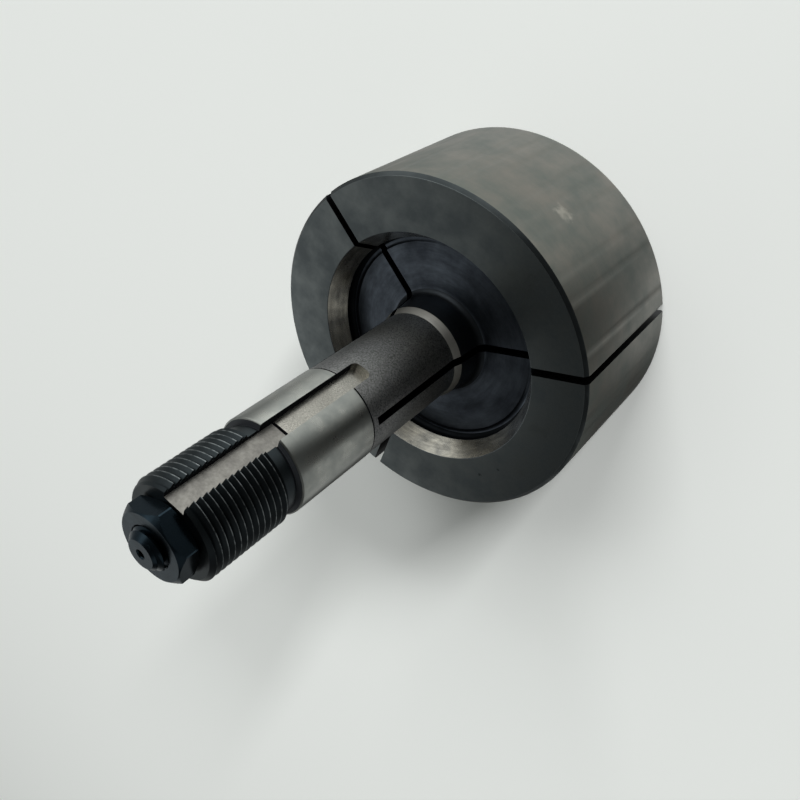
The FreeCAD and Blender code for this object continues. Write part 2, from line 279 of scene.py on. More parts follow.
            colour = add_node(tree, "ShaderNodeMix", {
                "Factor": share.outputs["Result"], "A": colour,
                "B": linear(mark.colour)}, data_type="RGBA").outputs["Result"]
        return colour


# Hardened steel, ground and then browned in the oil of years: satin, with
# soft warm and green-grey clouds and one rubbed place.
RIM = Finish("ground_browned_steel", "#87847d", "#767b76", 0.4, Lay.ROUND_SHAFT,
             line_pitch=0.35, line_tone=0.03, cloud_size=11.0,
             marks=(Mark((-12.6, -46.8, 27.9), 3.4, "#c9c3b8", 0.5),
                    Mark((-14.6, -46.2, 26.9), 1.6, "#c9c3b8", 0.3)))
# Bevel between the back face and the outer surface, turned: its dark colour is painted
# shade, the dark reflection that the bevel shows.
EDGE = Finish("back_bevel_painted_shade", "#54595b", "#494e50", 0.34, Lay.ROUND_SHAFT)
# The same steel on the faces, ground flat: soft clouds, and two small stains.
FACE = Finish("ground_browned_steel_face", "#868c8d", "#70777a", 0.36, Lay.ROUND_FACE,
              line_pitch=0.4, line_tone=0.02, cloud_size=8.0, uneven=0.08,
              marks=(Mark((-30.4, 24.1, 46.7), 0.9, "#2c2f33", 0.8),
                     Mark((-34.1, 18.0, 46.7), 0.6, "#2c2f33", 0.8)))
# Guide, finish ground: bright, with faint cloudy stains.
GROUND = Finish("ground_steel", "#b8b9b4", "#a2a5a2", 0.29, Lay.ROUND_SHAFT,
                line_pitch=0.12, line_depth=0.001, line_tone=0.02, cloud_size=5.0,
                uneven=0.04)
# Collar on the neck, left bright by the tool.
COLLAR = Finish("turned_bright_steel", "#b9b7b2", "#acaaa5", 0.42, Lay.ROUND_SHAFT,
                line_pitch=0.2, line_depth=0.002, cloud_size=6.0)
# Taper in the recess, ground on its seat: streaks that run round it, partly grinding marks
# and partly painted highlight streaks.
TAPER = Finish("ground_steel_taper", "#c9c4b8", "#9c9a95", 0.24, Lay.ROUND_FACE,
               line_pitch=0.8, line_depth=0.002, line_tone=0.42, line_breaks=3.0,
               cloud_size=6.0)
# Floor of the recess, finish turned: dark, with rings of the tool.
TURNED = Finish("turned_dark_steel", "#6f7782", "#525862", 0.36, Lay.ROUND_FACE,
                line_pitch=2.2, line_depth=0.004, line_tone=0.3, line_breaks=2.2,
                cloud_size=8.0)
# Neck and its fillet, turned: the dark colour is painted shade at the foot of the recess.
NECK_SHADE = Finish("neck_painted_shade", "#474b50", "#3c4045", 0.42, Lay.ROUND_SHAFT,
              line_pitch=0.3, line_depth=0.004)
# Foot of the taper: dark, painted shade in its undercut.
RELIEF_SHADE = Finish("taper_foot_painted_shade", "#25282c", "#1e2124", 0.5, Lay.GRAIN)
# Shank, grit blasted: matt, with a fine even grain drawn at 0.3 mm.
BLASTED = Finish("blasted_steel", "#999998", "#888889", 0.38, Lay.GRAIN,
                 line_pitch=0.4, line_depth=0.004, line_tone=0.5,
                 grain_size=0.28, grain_depth=0.04)
# Keyway beside the guide, milled after blasting: pale and matt.
MILLED = Finish("milled_steel", "#c0bdb5", "#aeaba4", 0.28, Lay.GRAIN,
                line_pitch=0.4, line_depth=0.004, line_tone=0.28,
                grain_size=0.28, grain_depth=0.02)
# Keyway beside the thread, milled deeper and duller.
MILLED_LOW = Finish("milled_dull_steel", "#a09d98", "#93908c", 0.44, Lay.GRAIN,
                    line_pitch=0.7, line_depth=0.004, line_tone=0.12,
                    cloud_size=2.0, grain_size=0.3, grain_depth=0.02)
# Saw slots and bores, never ground: near black, painted shade in the slots, the bores and
# the bolt's centre hole.
HOLLOW_SHADE = Finish("painted_shade_in_hollows", "#202226", "#191b1e", 0.42, Lay.GRAIN)
# Guide's shoulder, turned and never ground: grey and dull.
SHOULDER = Finish("dull_turned_shoulder", "#3f4246", "#373a3d", 0.5, Lay.ROUND_FACE,
                  metallic=0.65, line_pitch=0.3)
# Keyway walls, the corner of its step and the grooves at the guide's ends: black and dull,
# painted shade.
SHADE_BLACK = Finish("painted_shade_black", "#0b0c0e", "#07080a", 0.8, Lay.GRAIN,
               metallic=0.0, specular=0.1)
# Thread, blackened, with crests painted bright: partly worn oxide, partly a painted
# highlight.
BLACK_THREAD = Finish("blackened_steel_thread", "#41474a", "#383e42", 0.36, Lay.GRAIN,
                      line_depth=0.002, crest_radius=12.35, crest_wear_and_highlight_colour="#9ca2a5")
# Nut and bolt, black oxide over machined steel: blue-grey satin.
OXIDE = Finish("black_oxide_steel", "#36444e", "#2d3942", 0.23, Lay.ROUND_FACE,
               line_pitch=0.3, line_depth=0.002, cloud_size=4.0)


# ---------------------------------------------------------------- modelling


def only(piece: bpy.types.Object) -> None:
    """Select one object and nothing else."""
    bpy.ops.object.select_all(action="DESELECT")
    piece.select_set(True)
    bpy.context.view_layer.objects.active = piece


def in_edit_mode(piece: bpy.types.Object, select: str = "SELECT") -> None:
    """Open one object in edit mode with all or none of it selected."""
    only(piece)
    bpy.ops.object.mode_set(mode="EDIT")
    bpy.ops.mesh.select_all(action=select)


def to_object_mode() -> None:
    """Leave edit mode."""
    bpy.ops.object.mode_set(mode="OBJECT")


def tidy(piece: bpy.types.Object) -> None:
    """Merge doubled points and turn all faces outwards."""
    in_edit_mode(piece)
    bpy.ops.mesh.remove_doubles(threshold=MERGE)
    bpy.ops.mesh.normals_make_consistent(inside=False)
    to_object_mode()


def apply_modifier(piece: bpy.types.Object, kind: str, **settings: Any) -> None:
    """Add a modifier, set it and apply it.

    Args:
        piece: the object it changes.
        kind: the modifier's type.
        **settings: its properties.
    """
    only(piece)
    modifier = piece.modifiers.new(kind.title(), kind)
    for name, value in settings.items():
        setattr(modifier, name, value)
    bpy.ops.object.modifier_apply(modifier=modifier.name)


def combine(piece: bpy.types.Object, tool: bpy.types.Object,
            operation: str = "DIFFERENCE") -> None:
    """Cut, join or intersect a piece with a tool body, and remove the tool.

    Args:
        piece: the object that stays.
        tool: the object that is used up.
        operation: DIFFERENCE, UNION or INTERSECT.
    """
    apply_modifier(piece, "BOOLEAN", object=tool, operation=operation, solver="EXACT")
    bpy.data.objects.remove(tool)


def profile(name: str, outline: list[Point], closed: bool) -> bpy.types.Object:
    """Draw a half section in the XZ plane, point by point.

    Args:
        name: the object's name.
        outline: radius and height of each corner, in millimetres.
        closed: whether the last corner joins the first.

    Returns:
        An object of edges.
    """
    bpy.ops.object.select_all(action="DESELECT")
    bpy.ops.mesh.primitive_plane_add(size=1)
    piece = bpy.context.object
    piece.name = name
    bpy.ops.object.mode_set(mode="EDIT")
    bpy.ops.mesh.merge(type="CENTER")
    bpy.ops.transform.translate(value=(outline[0][0], 0, outline[0][1]))
    for (radius, height), (following, rise) in zip(outline, outline[1:]):
        bpy.ops.mesh.extrude_vertices_move(TRANSFORM_OT_translate={
            "value": (following - radius, 0, rise - height)})
    if closed:
        to_object_mode()
        points = piece.data.vertices
        for point in points:
            point.select = point.index in (0, len(points) - 1)
        bpy.ops.object.mode_set(mode="EDIT")
        bpy.ops.mesh.edge_face_add()
    to_object_mode()
    return piece


def turned(name: str, outline: list[Point], steps: int = 192) -> bpy.types.Object:
    """Turn a half section about the part's axis, as on the lathe.

    Args:
        name: the object's name.
        outline: radius and height of each corner, in millimetres.
        steps: facets round the axis.

    Returns:
        A closed solid of revolution.
    """
    on_axis = outline[0][0] == 0 and outline[-1][0] == 0
    piece = profile(name, outline, closed=not on_axis)
    in_edit_mode(piece)
    bpy.ops.mesh.spin(steps=steps, angle=math.tau, center=(0, 0, 0), axis=(0, 0, 1))
    to_object_mode()
    tidy(piece)
    return piece


def threaded(name: str, section: list[Point], pitch: float, turns: int, base: float,
             phase: float, steps: int = 96) -> bpy.types.Object:
    """Run a thread form up a right-hand helix and close it into a solid rod.

    Args:
        name: the object's name.
        section: radius and height of one pitch of the thread form.
        pitch: rise of one turn.
        turns: number of turns.
        base: height at which the helix starts.
        phase: degrees by which the form is turned about the axis.
        steps: facets in one turn.

    Returns:
        A closed threaded rod, one pitch shorter at each end.
    """
    piece = profile(name, [(radius, base + height) for radius, height in section],
                    closed=False)
    apply_modifier(piece, "SCREW", axis="Z", angle=math.tau, screw_offset=pitch,
                   iterations=turns, steps=steps, render_steps=steps,
                   use_merge_vertices=True, merge_threshold=MERGE)
    tidy(piece)
    for height, side in ((base + 1.5 * pitch, 1), (base + (turns - 0.5) * pitch, -1)):
        in_edit_mode(piece)
        bpy.ops.mesh.bisect(plane_co=(0, 0, height), plane_no=(0, 0, side),
                            use_fill=True, clear_inner=True, clear_outer=False)
        to_object_mode()
    in_edit_mode(piece)
    bpy.ops.transform.rotate(value=math.radians(-phase), orient_axis="Z",
                             center_override=(0, 0, 0))
    to_object_mode()
    tidy(piece)
    return piece


def block(name: str, low: tuple[float, float, float],
          high: tuple[float, float, float]) -> bpy.types.Object:
    """A rectangular cutter between two corners.

    Args:
        name: the object's name.
        low: lowest corner, in millimetres.
        high: highest corner.

    Returns:
        The cutter.
    """
    bpy.ops.object.select_all(action="DESELECT")
    bpy.ops.mesh.primitive_cube_add(size=1)
    piece = bpy.context.object
    piece.name = name
    bpy.ops.object.mode_set(mode="EDIT")
    bpy.ops.mesh.select_all(action="SELECT")
    bpy.ops.transform.resize(value=tuple(b - a for a, b in zip(low, high)))
    bpy.ops.transform.translate(value=tuple((a + b) / 2 for a, b in zip(low, high)))
    to_object_mode()
    return piece


def round_edges(piece: bpy.types.Object, width: float, segments: int = 2,
                angle: float = 30.0) -> None:
    """Break the sharp edges of a turned piece by a small round."""
    apply_modifier(piece, "BEVEL", width=width, segments=segments,
                   limit_method="ANGLE", angle_limit=math.radians(angle),
                   miter_outer="MITER_ARC", use_clamp_overlap=True)


def arc(centre: Point, radius: float, start: float, end: float,
        count: int = 8) -> list[Point]:
    """Points of a round stretch.

    Args:
        centre: radius and height of its centre.
        radius: its own radius.
        start: first angle in degrees.
        end: last angle in degrees.
        count: number of steps.

    Returns:
        The points, with both ends.
    """
    angles = [math.radians(start + (end - start) * at / count) for at in range(count + 1)]
    return [(centre[0] + radius * math.cos(a), centre[1] + radius * math.sin(a))
            for a in angles]


def settle(piece: bpy.types.Object, body: str, slot: str, *nodes: str) -> None:
    """Bring a piece from millimetres to metres and hang it on its body.

    Args:
        piece: the finished piece.
        body: the body that it rides on.
        slot: not used.
        *nodes: the nodes that it stands for.
    """
    in_edit_mode(piece)
    bpy.ops.transform.resize(value=(MM, MM, MM), center_override=(0, 0, 0))
    to_object_mode()
    only(piece)
    bpy.ops.object.shade_smooth_by_angle(angle=SMOOTH_ANGLE)
    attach(piece, body)
    if nodes:
        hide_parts(*nodes)
    LOG.info("%s: %d faces on %s", piece.name, len(piece.data.polygons), body)


def paint(piece: bpy.types.Object, rules: list[tuple[Finish, Test]]) -> None:
    """Give each face the first finish whose test it passes.

    Args:
        piece: the object, still in millimetres.
        rules: finishes with a test on a face's centre and normal.
    """
    for finish, _ in rules:
        piece.data.materials.append(finish.material())
    for face in piece.data.polygons:
        for index, (_, passes) in enumerate(rules):
            if passes(face.center, face.normal):
                face.material_index = index
                break


def ring_of(centre: Vector) -> float:
    """Distance of a point from the part's axis."""
    return math.hypot(centre.x, centre.y)


def outward(centre: Vector, normal: Vector) -> float:
    """Share of a normal that points away from the part's axis."""
    ring = ring_of(centre) or 1.0
    return (centre.x * normal.x + centre.y * normal.y) / ring


def sideways(centre: Vector, normal: Vector) -> float:
    """Share of a normal that points round the part's axis, as on a slot's wall."""
    ring = ring_of(centre) or 1.0
    return abs(centre.x * normal.y - centre.y * normal.x) / ring


# ------------------------------------------------------------- the collet


@dataclass
class Collet:
    """The collet: head, neck, shank, guide and drawbar thread, in millimetres."""

    head_radius: float = 48.5
    back: float = 46.7
    back_bevel: float = 0.95
    front_bevel: float = 0.5
    mouth_radius: float = 33.4
    taper_foot: Point = (30.253, 41.25)
    floor: float = 38.9
    relief_edge: float = 28.2
    neck_radius: float = 13.8
    neck_fillet: float = 2.2
    collar_radius: float = 13.25
    collar_from: float = 47.35
    collar_to: float = 49.55
    body_radius: float = 12.4
    guide_radius: float = 12.5
    guide_from: float = 83.6
    guide_to: float = 108.1
    guide_bevel: float = 0.3
    seam_radius: float = 12.1
    seam_width: float = 0.45
    undercut_radius: float = 10.5
    undercut_width: float = 0.8
    relief_radius: float = 11.0
    thread_from: float = 112.3
    runout: float = 0.7
    thread_radius: float = 12.35
    thread_root: float = 11.1
    thread_pitch: float = 1.667
    thread_phase: float = 82.0
    thread_turns: int = 20
    turns_before: int = 3
    tail: float = 133.9
    tail_bevel: float = 1.05
    pocket_radius: float = 13.4
    pocket_depth: float = 6.0
    seat_half_angle: float = 30.0
    bore_radius: float = 8.3
    bore_end: float = 76.0
    tail_bore: float = 5.05
    slot_width: float = 2.1
    slot_end: float = 81.5
    slot_angles: tuple[float, ...] = (-30.0, 90.0, 210.0)
    keyway_width: float = 5.5
    keyway_floor: float = 10.0
    keyway_from: float = 76.7
    keyway_corner: float = 1.4
    low_floor: float = 9.6
    low_from: float = 103.7
    relief_cut: float = 0.5
    broken_edge: float = 0.1

    def seat_end(self) -> float:
        """Height at which the seat's cone meets the bore."""
        return self.pocket_depth + (self.pocket_radius - self.bore_radius) / math.tan(
            math.radians(self.seat_half_angle))

    def joint(self) -> float:
        """Height of the corner where the thread piece takes over."""
        return self.guide_to + self.undercut_width

    def outline(self) -> list[Point]:
        """Half section from the front pocket round to the rim."""
        step = self.relief_radius - self.undercut_radius
        foot_radius, foot_height = self.taper_foot
        middle = ((self.relief_edge + foot_radius) / 2, (self.floor + foot_height) / 2)
        reach = math.dist(middle, self.taper_foot)
        lean = math.degrees(math.atan2(foot_height - middle[1], foot_radius - middle[0]))
        fillet = (self.neck_radius + self.neck_fillet, self.floor + self.neck_fillet)
        return [
            (self.pocket_radius, 0), (self.pocket_radius, self.pocket_depth),
            (self.bore_radius, self.seat_end()), (self.bore_radius, self.bore_end),
            (self.tail_bore, self.bore_end), (self.tail_bore, self.joint()),
            (self.relief_radius, self.joint()),
            (self.undercut_radius, self.joint() - step),
            (self.undercut_radius, self.guide_to),
            (self.guide_radius - self.guide_bevel, self.guide_to),
            (self.guide_radius, self.guide_to - self.guide_bevel),
            (self.guide_radius, self.guide_from),
            (self.seam_radius, self.guide_from),
            (self.seam_radius, self.guide_from - self.seam_width),
            (self.body_radius, self.guide_from - self.seam_width),
            (self.body_radius, self.collar_to),
            (self.collar_radius, self.collar_from),
            *arc(fillet, self.neck_fillet, 180, 270, 12),
            *arc(middle, reach, lean - 180, lean, 16),
            (self.mouth_radius, self.back),
            (self.head_radius - self.back_bevel, self.back),
            (self.head_radius, self.back - self.back_bevel),
            (self.head_radius, self.front_bevel),
            (self.head_radius - self.front_bevel, 0),
        ]

    def jaw_slot(self, angle: float) -> bpy.types.Object:
        """Saw cutter from the axis outwards, turned to its angle."""
        half = self.slot_width / 2
        saw = block("saw", (0, -half, -1), (self.head_radius + PAST, half, self.slot_end))
        in_edit_mode(saw)
        bpy.ops.transform.rotate(value=-math.radians(angle), orient_axis="Z",
                                 center_override=(0, 0, 0))
        to_object_mode()
        return saw

    def key_cutter(self) -> bpy.types.Object:
        """Cutter for the keyway: round-cornered at the head, deeper at the tail."""
        half = self.keyway_width / 2
        cutter = block("key_cutter", (-half, -self.guide_radius - PAST, self.keyway_from),
                       (half, -self.keyway_floor, self.tail + PAST))
        in_edit_mode(cutter, "DESELECT")
        bpy.ops.mesh.select_mode(type="EDGE")
        to_object_mode()
        for edge in cutter.data.edges:
            ends = [cutter.data.vertices[at].co for at in edge.vertices]
            edge.select = abs(ends[0].y - ends[1].y) > 1 and all(
                abs(end.z - self.keyway_from) < NEAR for end in ends)
        bpy.ops.object.mode_set(mode="EDIT")
        bpy.ops.mesh.bevel(offset=self.keyway_corner, segments=6, affect="EDGES")
        bpy.ops.mesh.select_mode(type="VERT")
        to_object_mode()
        return cutter

    def low_cutter(self) -> bpy.types.Object:
        """Cutter for the keyway's deeper stretch."""
        half = self.keyway_width / 2
        return block("low_cutter", (-half, -self.guide_radius - PAST, self.low_from),
                     (half, -self.low_floor, self.tail + PAST))

    def corner_cutter(self) -> bpy.types.Object:
        """Cutter for the small relief in the corner of the keyway's step."""
        half = self.keyway_width / 2
        return block("corner_cutter", (-half, -self.guide_radius - PAST, self.low_from),
                     (half, self.relief_cut - self.low_floor,
                      self.low_from + self.relief_cut))

    def build_body(self) -> bpy.types.Object:
        """Turn, slot and mill the collet up to its thread."""
        piece = turned("collet", self.outline())
        round_edges(piece, self.broken_edge)
        for angle in self.slot_angles:
            combine(piece, self.jaw_slot(angle))
        combine(piece, self.key_cutter())
        combine(piece, self.low_cutter())
        combine(piece, self.corner_cutter())
        return piece

    def thread_form(self) -> list[Point]:
        """One pitch of the drawbar thread, its steep flank towards the head."""
        root, crest, pitch = self.thread_root, self.thread_radius, self.thread_pitch
        return [(root, 0), (crest - 0.04, 0.1), (crest, 0.14), (crest, 0.24),
                (crest - 0.05, 0.3), (root, pitch - 0.12), (root, pitch)]

    def build_thread(self) -> bpy.types.Object:
        """Cut the drawbar thread on its own length, with chamfer and run-out."""
        base = self.joint() - self.turns_before * self.thread_pitch
        rod = threaded("drawbar_thread", self.thread_form(), self.thread_pitch,
                       self.thread_turns, base, self.thread_phase)
        over = 0.3
        top = self.thread_radius + over
        rise = top - self.relief_radius
        slope = self.runout / (self.thread_radius - self.relief_radius)
        blank = turned("thread_blank", [
            (self.tail_bore, self.joint()), (self.relief_radius, self.joint()),
            (self.relief_radius, self.thread_from - self.runout),
            (top, self.thread_from - self.runout + rise * slope),
            (top, self.tail - self.tail_bevel - over),
            (self.thread_radius - self.tail_bevel, self.tail),
            (self.tail_bore, self.tail)])
        combine(rod, blank, "INTERSECT")
        combine(rod, self.low_cutter())
        return rod

    def in_keyway(self, centre: Vector, normal: Vector) -> bool:
        """Whether a face is a wall of the keyway or the riser of its step."""
        wall = abs(abs(centre.x) - self.keyway_width / 2) < 0.02 and abs(normal.x) > 0.9
        from_step = centre.z - self.low_from
        riser = abs(centre.x) < 3 and (abs(from_step) < 0.02 or (
            abs(from_step - self.relief_cut / 2) < self.relief_cut / 2 + 0.02
            and centre.y > 0.05 - self.low_floor))
        return centre.y < -9 and centre.z > self.keyway_from and (wall or riser)

    def body_rules(self) -> list[tuple[Finish, Test]]:
        """Which finish each face of the collet has."""
        key_low, key_high = -self.keyway_floor - 0.02, -self.low_floor + 0.02
        half = self.keyway_width / 2 + 0.25
        return [
            # Keyway: its two floors, its round end and its walls.
            (MILLED_LOW, lambda c, n: n.y < -0.99 and key_low < c.y < key_high
             and abs(c.x) < half and c.z > self.low_from),
            (MILLED, lambda c, n: n.y < -0.99 and key_low < c.y < key_high
             and abs(c.x) < half and c.z > self.keyway_from),
            (MILLED, lambda c, n: n.z > 0.2 and abs(c.x) < half and c.y < key_low + 0.1
             and self.keyway_from - 0.1 < c.z < self.keyway_from + 1.5),
            # Keyway walls and the step's corner: painted black as shade.
            (SHADE_BLACK, self.in_keyway),
            # Slot walls, bores and the slots' ends, painted near black as shade.
            (HOLLOW_SHADE, lambda c, n: sideways(c, n) > 0.6 or outward(c, n) < -0.3
             and ring_of(c) < 14.5 or ring_of(c) < self.bore_radius + 0.1),
            (HOLLOW_SHADE, lambda c, n: abs(c.z - self.slot_end) < NEAR),
            # Shank, from the groove at the guide's foot outwards.
            # The groove at the guide's foot: painted black as shade.
            (SHADE_BLACK, lambda c, n: self.guide_from - self.seam_width - NEAR < c.z
             < self.guide_from + 0.02 and 12 < ring_of(c) < self.body_radius - NEAR),
            (GROUND, lambda c, n: c.z > self.guide_from and ring_of(c) > self.seam_radius),
            (COLLAR, lambda c, n: self.collar_from < c.z < self.collar_to
             and ring_of(c) < 14),
            (SHOULDER, lambda c, n: abs(c.z - self.guide_to) < NEAR),
            # The undercut behind the guide's shoulder: painted black as shade.
            (SHADE_BLACK, lambda c, n: self.guide_to < c.z
             and 9 < ring_of(c) < self.relief_radius),
            (TAPER, lambda c, n: self.taper_foot[1] < c.z < self.back - 0.06
             and 30 < ring_of(c) < self.mouth_radius and n.z > 0.2),
            (BLASTED, lambda c, n: c.z > self.collar_to and ring_of(c) > 11.8),
            # Recess in the back face, from its foot to the neck.
            # The taper's foot: painted dark as shade in its undercut.
            (RELIEF_SHADE, lambda c, n: self.taper_foot[0] - 0.75 < ring_of(c)
             < self.mouth_radius and c.z < self.taper_foot[1]),
            # Neck and its fillet at the foot of the recess: painted dark as shade.
            (NECK_SHADE, lambda c, n: ring_of(c) < self.neck_radius + self.neck_fillet * 0.6
             and c.z > self.floor - 0.1),
            (TURNED, lambda c, n: ring_of(c) < self.mouth_radius and c.z > self.floor - 2),
            # Head.
            (FACE, lambda c, n: abs(n.z) > 0.8),
            # The back bevel: painted dark as shade.
            (EDGE, lambda c, n: c.z > self.back - self.back_bevel and n.z > 0.3),
            (RIM, lambda c, n: True),
        ]

    def thread_rules(self) -> list[tuple[Finish, Test]]:
        """Which finish each face of the thread piece has."""
        half = self.keyway_width / 2 + 0.25
        return [
            (MILLED_LOW, lambda c, n: n.y < -0.99 and abs(c.y + self.low_floor) < NEAR
             and abs(c.x) < half),
            # Keyway walls: painted black as shade.
            (SHADE_BLACK, self.in_keyway),
            # The bore: painted near black as shade.
            (HOLLOW_SHADE, lambda c, n: ring_of(c) < self.tail_bore + 0.1),
            (BLACK_THREAD, lambda c, n: True),
        ]

    def make(self) -> None:
        """Build, paint and settle the collet's two pieces."""
        piece = self.build_body()
        paint(piece, self.body_rules())
        settle(piece, "collet", "collet_steel", "collet_body")
        thread = self.build_thread()
        paint(thread, self.thread_rules())
        settle(thread, "collet", "collet_steel")


# ---------------------------------------------------------- bolt and nut


@dataclass
class DrawBolt:
    """The draw bolt: tapered head with a socket, long shank, threaded end."""

    recess: float = 3.5
    head_radius: float = 13.1
    cone_front: float = 6.1196
    cone_radius: float = 7.6
    cone_back: float = 15.6458
    shank_radius: float = 5.0
    end: float = 141.2
    end_bevel: float = 1.5
    thread_from: float = 136.5
    thread_root: float = 4.1
    thread_pitch: float = 1.5
    thread_phase: float = 0.0
    hole_mouth: float = 1.25
    hole_radius: float = 0.95
    hole_depth: float = 2.6
    socket_flats: float = 8.0
    socket_depth: float = 5.0

    def build_shank(self) -> bpy.types.Object:
        """Turn the head and shank, and sink the hexagon socket."""
        piece = turned("draw_bolt_shank", [
            (0, self.recess), (self.head_radius - 0.6, self.recess),
            (self.head_radius, self.recess + 0.6), (self.head_radius, self.cone_front),
            (self.cone_radius, self.cone_back), (self.shank_radius + 1, self.cone_back),
            (self.shank_radius, self.cone_back + 1),
            (self.shank_radius, self.thread_from), (0, self.thread_from)], steps=128)
        round_edges(piece, 0.12)
        bpy.ops.object.select_all(action="DESELECT")
        bpy.ops.mesh.primitive_cylinder_add(
            vertices=6, radius=self.socket_flats / 2 / math.cos(math.pi / 6),
            depth=2 * self.socket_depth, location=(0, 0, self.recess),
            rotation=(0, 0, math.radians(30)))
        combine(piece, bpy.context.object)
        return piece

    def build_end(self) -> bpy.types.Object:
        """Thread and bevel the end, and drill its centre hole."""
        root, crest, pitch = self.thread_root, self.shank_radius, self.thread_pitch
        flank = (pitch - 0.45) / 2
        rod = threaded("draw_bolt_thread", [
            (root, 0), (root, 0.25), (crest, 0.25 + flank), (crest, 0.45 + flank),
            (root, pitch)], pitch, 8, self.thread_from - 3, self.thread_phase, 64)
        over = 0.2
        blank = turned("end_blank", [
            (0, self.thread_from), (self.shank_radius + over, self.thread_from),
            (self.shank_radius + over, self.end - self.end_bevel - over),
            (self.shank_radius - self.end_bevel, self.end), (self.hole_mouth, self.end),
            (self.hole_radius, self.end - self.hole_mouth + self.hole_radius),
            (self.hole_radius, self.end - self.hole_depth + self.hole_radius),
            (0, self.end - self.hole_depth)], steps=64)
        combine(rod, blank, "INTERSECT")
        return rod

    def make(self) -> None:
        """Build, paint and settle the bolt's two pieces."""
        shank = self.build_shank()
        paint(shank, [(OXIDE, lambda c, n: True)])
        settle(shank, "bolt", "blackened_steel", "draw_bolt")
        end = self.build_end()
        # The centre hole: painted near black as shade.
        paint(end, [(HOLLOW_SHADE, lambda c, n: ring_of(c) < self.hole_radius + 0.1
                     and c.z < self.end - 0.4),
                    (OXIDE, lambda c, n: True)])
        settle(end, "bolt", "blackened_steel")


@dataclass
class ThinNut:
    """The thin hexagon nut on the tail face, both ends chamfered."""

    flats: float = 16.8
    seat: float = 133.9
    face: float = 138.9
    face_radius: float = 8.2
    corner_radius: float = 9.6
    bore_radius: float = 5.05
    mouth_radius: float = 5.4
    seat_slope: float = 0.5

    def build(self) -> bpy.types.Object:
        """Turn a hexagon bar over its corners, chamfer it and bore it."""
        corner = self.flats / 2 / math.cos(math.pi / 6)
        bpy.ops.object.select_all(action="DESELECT")
        bpy.ops.mesh.primitive_cylinder_add(
            vertices=6, radius=corner, depth=self.face - self.seat + PAST,
            location=(0, 0, (self.seat + self.face) / 2))
        piece = bpy.context.object
        piece.name = "thin_nut"
        only(piece)
        bpy.ops.object.transform_apply(location=True, rotation=True, scale=True)
        wide = self.corner_radius
        sink = self.mouth_radius - self.bore_radius
        blank = turned("nut_blank", [
            (self.mouth_radius, self.seat), (self.flats / 2, self.seat),
            (wide, self.seat + (wide - self.flats / 2) * self.seat_slope),
            (wide, self.face - (wide - self.face_radius)),
            (self.face_radius, self.face), (self.mouth_radius, self.face),
            (self.bore_radius, self.face - sink), (self.bore_radius, self.seat + sink)],
            steps=144)
        combine(piece, blank, "INTERSECT")
        round_edges(piece, 0.12, angle=20)
        return piece

    def make(self) -> None:
        """Build, paint and settle the nut."""
        piece = self.build()
        paint(piece, [(OXIDE, lambda c, n: True)])
        settle(piece, "nut", "blackened_steel", "draw_nut")


# ------------------------------------------------------------- the studio


@dataclass(frozen=True)
class Patch:
    """A soft round patch of the studio, lighter or darker than the rest.

    It lies at a turn from the camera's azimuth and a rise above the floor, starts
    at its edge and is full within its core, all in degrees.  Its amount is added.
    """

    turn: float
    rise: float
    edge: float
    core: float
    amount: float


@dataclass(frozen=True)
class Softbox:
    """A square lamp: its turn and rise in degrees, then metres and watts."""

    name: str
    turn: float
    rise: float
    away: float
    size: float
    power: float


